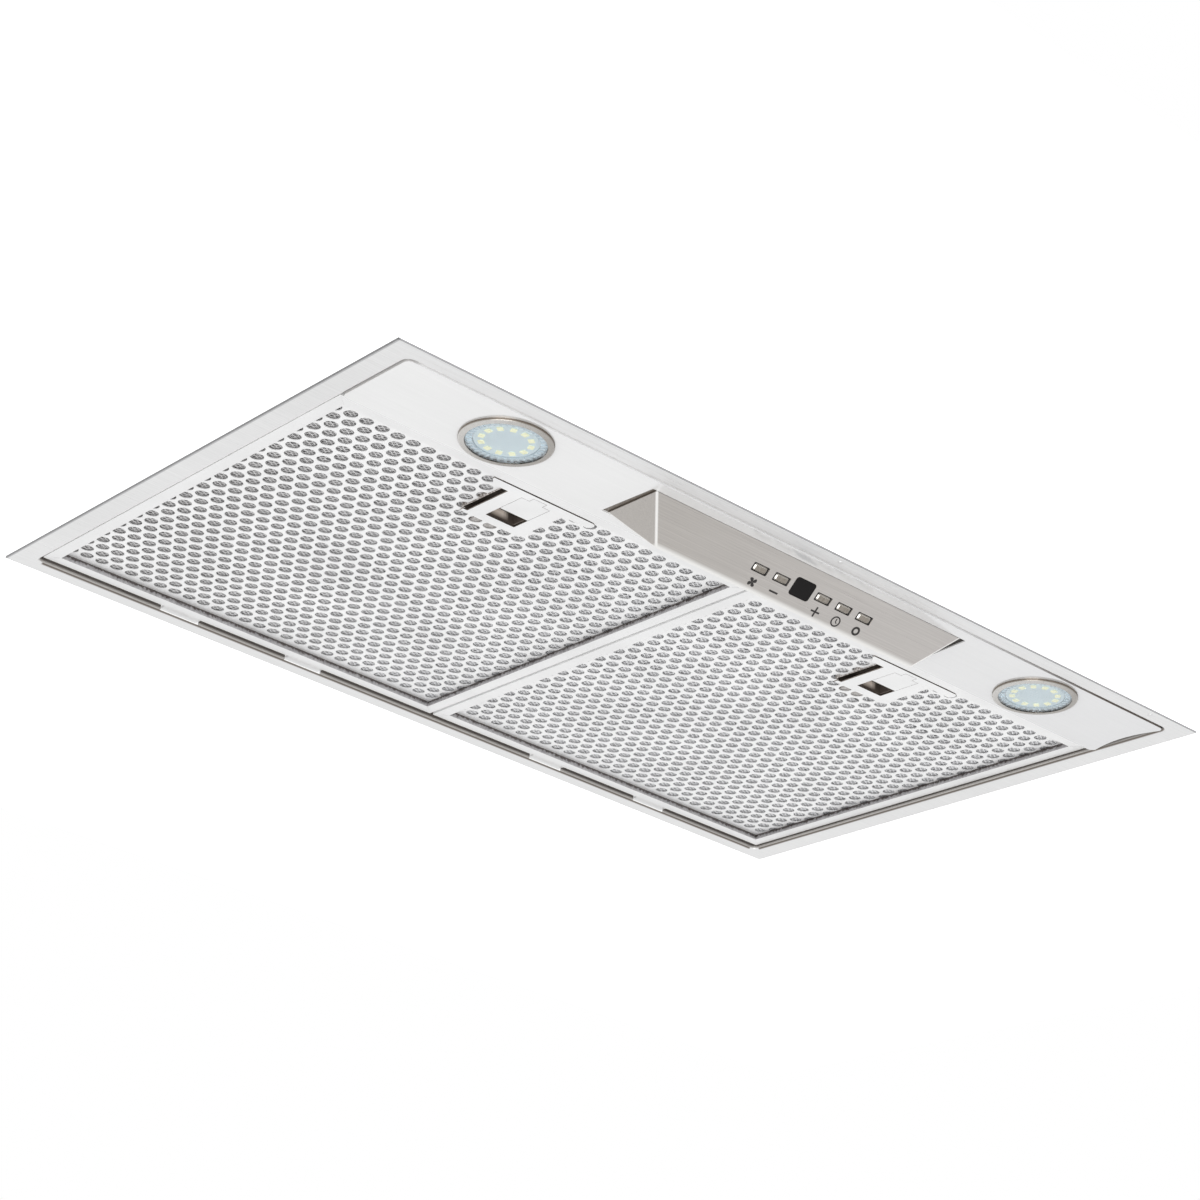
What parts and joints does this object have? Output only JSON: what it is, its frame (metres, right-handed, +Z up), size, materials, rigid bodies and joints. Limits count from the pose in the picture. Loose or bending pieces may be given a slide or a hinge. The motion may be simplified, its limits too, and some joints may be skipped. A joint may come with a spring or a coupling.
{
  "type": "range hood insert",
  "caption": "Built-in range hood insert: flanged steel tray with two hinged grease filters, lamps, a wedge-shaped key panel and a ducted blower box above.",
  "frame": {"origin": "centre of the flange's upper face, which meets the underside of the cabinet", "axes": "+X along the long side, to the user's right when they face the appliance; +Y to the rear wall; +Z up, along the duct collar"},
  "size_m": [0.7, 0.445, 0.3189],
  "materials": {
    "stainless": "brushed",
    "galvanised": "galvanised",
    "filter_aluminium": "satin",
    "mesh_aluminium": "satin",
    "flap_aluminium": "satin",
    "rivet_aluminium": "satin",
    "latch_metal": "satin",
    "heat_sink": "satin",
    "screw_steel": "zinc plated",
    "motor_steel": "painted",
    "dark_plastic": "matte",
    "box_plastic": "matte",
    "blower_plastic": "matte",
    "impeller_plastic": "matte",
    "key_plastic": "satin",
    "display_black": "gloss",
    "circuit_board": "matte",
    "lamp_board": "matte",
    "light_chip": "satin",
    "ceramic": "matte",
    "lamp_glass": "clear"
  },
  "bodies": {
    "tray": {"flange_frame": "stainless", "lamp_strip": "stainless", "control_housing": "stainless", "lamp_bezel_left": "stainless", "lamp_bezel_right": "stainless", "tray_roof": "galvanised", "bay_bulkhead": "galvanised", "centre_rail": "galvanised", "blower_box": "galvanised", "outlet_collar": "galvanised", "mounting_brackets": "galvanised", "motor_bracket": "galvanised", "control_carrier": "dark_plastic", "control_board": "circuit_board", "control_switches": "dark_plastic", "control_screws": "screw_steel", "motor_screws": "screw_steel", "sheet_screws": "screw_steel", "rivets": "rivet_aluminium", "display_window": "display_black", "scroll_left": "blower_plastic", "scroll_right": "blower_plastic", "motor": "motor_steel", "damper_pin": "screw_steel", "terminal_box": "box_plastic", "terminal_lid": "box_plastic", "cable_gland": "dark_plastic", "capacitor": "flap_aluminium", "power_module": "box_plastic", "lamp_lens_left": "lamp_glass", "lamp_board_left": "lamp_board", "lamp_chips_left": "light_chip", "lamp_body_left": "heat_sink", "lamp_socket_left": "ceramic", "lamp_lens_right": "lamp_glass", "lamp_board_right": "lamp_board", "lamp_chips_right": "light_chip", "lamp_body_right": "heat_sink", "lamp_socket_right": "ceramic"},
    "filter_left": {"filter_frame_left": "filter_aluminium", "filter_face_left": "filter_aluminium", "filter_mesh_left": "mesh_aluminium", "latch_housing_left": "latch_metal", "latch_spring_left": "screw_steel"},
    "filter_right": {"filter_frame_right": "filter_aluminium", "filter_face_right": "filter_aluminium", "filter_mesh_right": "mesh_aluminium", "latch_housing_right": "latch_metal", "latch_spring_right": "screw_steel"},
    "latch_slider_left": {"latch_slider_left": "latch_metal"},
    "latch_slider_right": {"latch_slider_right": "latch_metal"},
    "impeller": {"impeller": "impeller_plastic", "motor_shaft": "screw_steel"},
    "damper_flap_front": {"damper_flap_front": "flap_aluminium"},
    "damper_flap_rear": {"damper_flap_rear": "flap_aluminium"},
    "button_fan": {"button_fan": "key_plastic"},
    "button_minus": {"button_minus": "key_plastic"},
    "button_plus": {"button_plus": "key_plastic"},
    "button_timer": {"button_timer": "key_plastic"},
    "button_light": {"button_light": "key_plastic"}
  },
  "joints": [
    {"name": "filter_left_hinge", "type": "hinge", "parent": "tray", "child": "filter_left", "pos_m": [-0.166, 0.2106, 0.00285], "axis": [1, 0, 0], "range_deg": [0, 60]},
    {"name": "latch_left_slide", "type": "slide", "parent": "filter_left", "child": "latch_slider_left", "axis": [0, 1, 0], "range_m": [0, 0.006], "stiffness_N_per_m": 400, "springref_m": -0.003, "deforming": ["latch_spring_left"]},
    {"name": "filter_right_hinge", "type": "hinge", "parent": "tray", "child": "filter_right", "pos_m": [0.166, 0.2106, 0.00285], "axis": [1, 0, 0], "range_deg": [0, 60]},
    {"name": "latch_right_slide", "type": "slide", "parent": "filter_right", "child": "latch_slider_right", "axis": [0, 1, 0], "range_m": [0, 0.006], "stiffness_N_per_m": 400, "springref_m": -0.003, "deforming": ["latch_spring_right"]},
    {"name": "button_fan_press", "type": "slide", "parent": "tray", "child": "button_fan", "axis": [0, 0.7102, 0.704], "range_m": [0, 0.001], "stiffness_N_per_m": 400, "springref_m": -0.001},
    {"name": "button_minus_press", "type": "slide", "parent": "tray", "child": "button_minus", "axis": [0, 0.7102, 0.704], "range_m": [0, 0.001], "stiffness_N_per_m": 400, "springref_m": -0.001},
    {"name": "button_plus_press", "type": "slide", "parent": "tray", "child": "button_plus", "axis": [0, 0.7102, 0.704], "range_m": [0, 0.001], "stiffness_N_per_m": 400, "springref_m": -0.001},
    {"name": "button_timer_press", "type": "slide", "parent": "tray", "child": "button_timer", "axis": [0, 0.7102, 0.704], "range_m": [0, 0.001], "stiffness_N_per_m": 400, "springref_m": -0.001},
    {"name": "button_light_press", "type": "slide", "parent": "tray", "child": "button_light", "axis": [0, 0.7102, 0.704], "range_m": [0, 0.001], "stiffness_N_per_m": 400, "springref_m": -0.001},
    {"name": "impeller_spin", "type": "hinge", "parent": "tray", "child": "impeller", "pos_m": [0, 0.008, 0.17199], "axis": [1, 0, 0], "continuous": true},
    {"name": "damper_front_hinge", "type": "hinge", "parent": "tray", "child": "damper_flap_front", "pos_m": [0, 0.072, 0.2715], "axis": [-1, 0, 0], "range_deg": [0, 75]},
    {"name": "damper_rear_hinge", "type": "hinge", "parent": "tray", "child": "damper_flap_rear", "pos_m": [0, 0.072, 0.2715], "axis": [1, 0, 0], "range_deg": [0, 75]}
  ]
}
